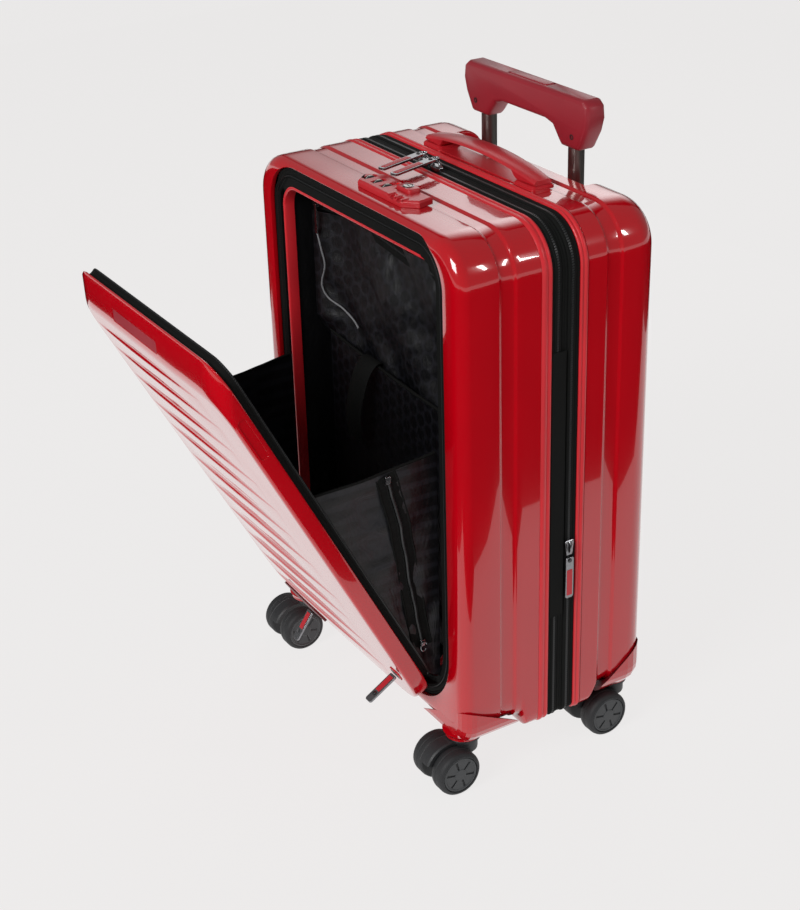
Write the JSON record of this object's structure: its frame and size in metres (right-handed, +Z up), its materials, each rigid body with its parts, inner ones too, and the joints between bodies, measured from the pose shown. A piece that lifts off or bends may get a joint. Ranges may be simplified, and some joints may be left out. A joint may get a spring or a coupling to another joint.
{
  "type": "hard shell suitcase",
  "caption": "Hard shell cabin suitcase with an open front laptop pocket, an expanding zip band, a combination lock, a pull-out handle and twin-wheel casters.",
  "frame": {"origin": "on the floor, under the middle of the box that holds the case with its pocket lid open", "axes": "+Z up, -Y out of the front pocket, +X towards the side the two halves hinge on"},
  "size_m": [0.361, 0.4216, 0.6188],
  "materials": {
    "gloss_red": "high gloss, clear coated",
    "satin_red": "satin",
    "grip_red": "fine satin, slightly metallic",
    "black_tape": "woven zip tape",
    "black_lining": "smooth woven lining with a tone-on-tone pattern",
    "black_plastic": "fine textured",
    "wheel_rubber": "matt",
    "tube_grey": "gunmetal anodised",
    "zip_metal": "dark polished plating",
    "dial_white": "moulded with dark digits"
  },
  "bodies": {
    "rear_case": {"rear_shell": "gloss_red", "rear_trim": "satin_red", "rear_zip_tape": "black_tape", "rear_lining": "black_lining", "trolley_housing": "satin_red", "socket_tube_left": "tube_grey", "socket_tube_right": "tube_grey", "rear_bumper_left": "satin_red", "rear_bumper_right": "satin_red", "carry_base": "satin_red"},
    "carry_handle": {"carry_handle": "satin_red"},
    "trolley_stage": {"stage_tube_left": "tube_grey", "stage_tube_right": "tube_grey"},
    "trolley_grip": {"inner_tube_left": "tube_grey", "inner_tube_right": "tube_grey", "grip": "grip_red"},
    "grip_button": {"grip_button": "grip_red"},
    "expansion_slider": {"expansion_slider": "zip_metal"},
    "expansion_puller": {"expansion_puller": "zip_metal"},
    "middle": {"middle_band": "black_tape", "expansion_gusset": "black_tape", "hinge_strip": "black_tape"},
    "main_slider_left": {"main_slider_left": "zip_metal"},
    "main_slider_right": {"main_slider_right": "zip_metal"},
    "main_puller_left": {"main_puller_left": "zip_metal"},
    "main_puller_right": {"main_puller_right": "zip_metal"},
    "front_case": {"front_shell": "gloss_red", "front_trim": "satin_red", "front_zip_tape": "black_tape", "opening_tape": "black_tape", "inner_frame": "satin_red", "pocket_liner": "black_lining", "laptop_sleeve": "black_lining", "divider_panel": "black_lining", "gusset_left": "black_lining", "gusset_right": "black_lining", "front_bumper_left": "satin_red", "front_bumper_right": "satin_red", "lock_body": "satin_red"},
    "lid": {"lid_panel": "gloss_red", "lid_lining": "black_lining", "lid_tape": "black_tape"},
    "lid_puller_left": {"lid_puller_left": "zip_metal"},
    "lid_puller_right": {"lid_puller_right": "zip_metal"},
    "lock_dial_1": {"lock_dial_1": "dial_white"},
    "lock_dial_2": {"lock_dial_2": "dial_white"},
    "lock_dial_3": {"lock_dial_3": "dial_white"},
    "lock_button": {"lock_button": "satin_red"},
    "caster_front_left": {"caster_front_left": "black_plastic"},
    "wheel_front_left_a": {"wheel_front_left_a": "wheel_rubber"},
    "wheel_front_left_b": {"wheel_front_left_b": "wheel_rubber"},
    "caster_front_right": {"caster_front_right": "black_plastic"},
    "wheel_front_right_a": {"wheel_front_right_a": "wheel_rubber"},
    "wheel_front_right_b": {"wheel_front_right_b": "wheel_rubber"},
    "caster_rear_left": {"caster_rear_left": "black_plastic"},
    "wheel_rear_left_a": {"wheel_rear_left_a": "wheel_rubber"},
    "wheel_rear_left_b": {"wheel_rear_left_b": "wheel_rubber"},
    "caster_rear_right": {"caster_rear_right": "black_plastic"},
    "wheel_rear_right_a": {"wheel_rear_right_a": "wheel_rubber"},
    "wheel_rear_right_b": {"wheel_rear_right_b": "wheel_rubber"}
  },
  "joints": [
    {"name": "expansion_slide", "type": "slide", "parent": "rear_case", "child": "middle", "axis": [0, -1, 0], "range_m": [0, 0.03]},
    {"name": "case_hinge", "type": "hinge", "parent": "middle", "child": "front_case", "pos_m": [0.183, 0.09879, 0.3], "axis": [0, 0, 1], "range_deg": [0, 180], "deforming": ["hinge_strip"]},
    {"name": "lid_hinge", "type": "hinge", "parent": "front_case", "child": "lid", "pos_m": [0, -0.00221, 0.078], "axis": [1, 0, 0], "range_deg": [-27.1, 0], "deforming": ["gusset_left", "gusset_right"]},
    {"name": "stage_slide", "type": "slide", "parent": "rear_case", "child": "trolley_stage", "axis": [0, 0, 1], "range_m": [0, 0.33]},
    {"name": "grip_slide", "type": "slide", "parent": "trolley_stage", "child": "trolley_grip", "axis": [0, 0, 1], "range_m": [-0.071, 0.27]},
    {"name": "grip_button_press", "type": "slide", "parent": "trolley_grip", "child": "grip_button", "axis": [0, 0, -1], "range_m": [0, 0.003], "stiffness_N_per_m": 400, "springref_m": -0.002},
    {"name": "carry_handle_lift", "type": "slide", "parent": "rear_case", "child": "carry_handle", "axis": [0, 0, 1], "range_m": [0, 0.008]},
    {"name": "expansion_slider_travel", "type": "slide", "parent": "rear_case", "child": "expansion_slider", "axis": [0, 0, 1], "range_m": [-0.13, 0.25]},
    {"name": "expansion_puller_swing", "type": "hinge", "parent": "expansion_slider", "child": "expansion_puller", "pos_m": [0.1792, 0.11379, 0.2216], "axis": [0, 1, 0], "range_deg": [-115, 0]},
    {"name": "lock_button_press", "type": "slide", "parent": "front_case", "child": "lock_button", "axis": [0, 0, -1], "range_m": [0, 0.002], "stiffness_N_per_m": 300, "springref_m": -0.002},
    {"name": "lid_puller_left_swing", "type": "hinge", "parent": "lid", "child": "lid_puller_left", "pos_m": [-0.077, -0.02468, 0.07998], "axis": [-1, 0, 0], "range_deg": [0, 75]},
    {"name": "lid_puller_right_swing", "type": "hinge", "parent": "lid", "child": "lid_puller_right", "pos_m": [0.124, -0.04517, 0.12004], "axis": [-1, 0, 0], "range_deg": [0, 55]},
    {"name": "main_slider_left_travel", "type": "slide", "parent": "middle", "child": "main_slider_left", "axis": [1, 0, 0], "range_m": [-0.09, 0]},
    {"name": "main_puller_left_swing", "type": "hinge", "parent": "main_slider_left", "child": "main_puller_left", "pos_m": [-0.034, 0.09879, 0.5565], "axis": [-0.9511, -0.309, 0], "range_deg": [0, 110]},
    {"name": "main_slider_right_travel", "type": "slide", "parent": "middle", "child": "main_slider_right", "axis": [1, 0, 0], "range_m": [0, 0.1]},
    {"name": "main_puller_right_swing", "type": "hinge", "parent": "main_slider_right", "child": "main_puller_right", "pos_m": [-0.013, 0.09879, 0.5565], "axis": [-0.9511, -0.309, 0], "range_deg": [0, 110]},
    {"name": "lock_dial_1_turn", "type": "hinge", "parent": "front_case", "child": "lock_dial_1", "pos_m": [-0.015, 0.02879, 0.5467], "axis": [1, 0, 0], "continuous": true},
    {"name": "lock_dial_2_turn", "type": "hinge", "parent": "front_case", "child": "lock_dial_2", "pos_m": [0, 0.02879, 0.5467], "axis": [1, 0, 0], "continuous": true},
    {"name": "lock_dial_3_turn", "type": "hinge", "parent": "front_case", "child": "lock_dial_3", "pos_m": [0.015, 0.02879, 0.5467], "axis": [1, 0, 0], "continuous": true},
    {"name": "caster_front_left_swivel", "type": "hinge", "parent": "front_case", "child": "caster_front_left", "pos_m": [-0.152, 0.01229, 0.048], "axis": [0, 0, 1], "continuous": true},
    {"name": "wheel_front_left_a_spin", "type": "hinge", "parent": "caster_front_left", "child": "wheel_front_left_a", "pos_m": [-0.152, -0.00721, 0.023], "axis": [1, 0, 0], "continuous": true},
    {"name": "wheel_front_left_b_spin", "type": "hinge", "parent": "caster_front_left", "child": "wheel_front_left_b", "pos_m": [-0.152, -0.00721, 0.023], "axis": [1, 0, 0], "continuous": true},
    {"name": "caster_front_right_swivel", "type": "hinge", "parent": "front_case", "child": "caster_front_right", "pos_m": [0.152, 0.01229, 0.048], "axis": [0, 0, 1], "continuous": true},
    {"name": "wheel_front_right_a_spin", "type": "hinge", "parent": "caster_front_right", "child": "wheel_front_right_a", "pos_m": [0.152, -0.00721, 0.023], "axis": [1, 0, 0], "continuous": true},
    {"name": "wheel_front_right_b_spin", "type": "hinge", "parent": "caster_front_right", "child": "wheel_front_right_b", "pos_m": [0.152, -0.00721, 0.023], "axis": [1, 0, 0], "continuous": true},
    {"name": "caster_rear_left_swivel", "type": "hinge", "parent": "rear_case", "child": "caster_rear_left", "pos_m": [-0.152, 0.18659, 0.048], "axis": [0, 0, 1], "continuous": true},
    {"name": "wheel_rear_left_a_spin", "type": "hinge", "parent": "caster_rear_left", "child": "wheel_rear_left_a", "pos_m": [-0.152, 0.16709, 0.023], "axis": [1, 0, 0], "continuous": true},
    {"name": "wheel_rear_left_b_spin", "type": "hinge", "parent": "caster_rear_left", "child": "wheel_rear_left_b", "pos_m": [-0.152, 0.16709, 0.023], "axis": [1, 0, 0], "continuous": true},
    {"name": "caster_rear_right_swivel", "type": "hinge", "parent": "rear_case", "child": "caster_rear_right", "pos_m": [0.152, 0.18659, 0.048], "axis": [0, 0, 1], "continuous": true},
    {"name": "wheel_rear_right_a_spin", "type": "hinge", "parent": "caster_rear_right", "child": "wheel_rear_right_a", "pos_m": [0.152, 0.16709, 0.023], "axis": [1, 0, 0], "continuous": true},
    {"name": "wheel_rear_right_b_spin", "type": "hinge", "parent": "caster_rear_right", "child": "wheel_rear_right_b", "pos_m": [0.152, 0.16709, 0.023], "axis": [1, 0, 0], "continuous": true}
  ]
}
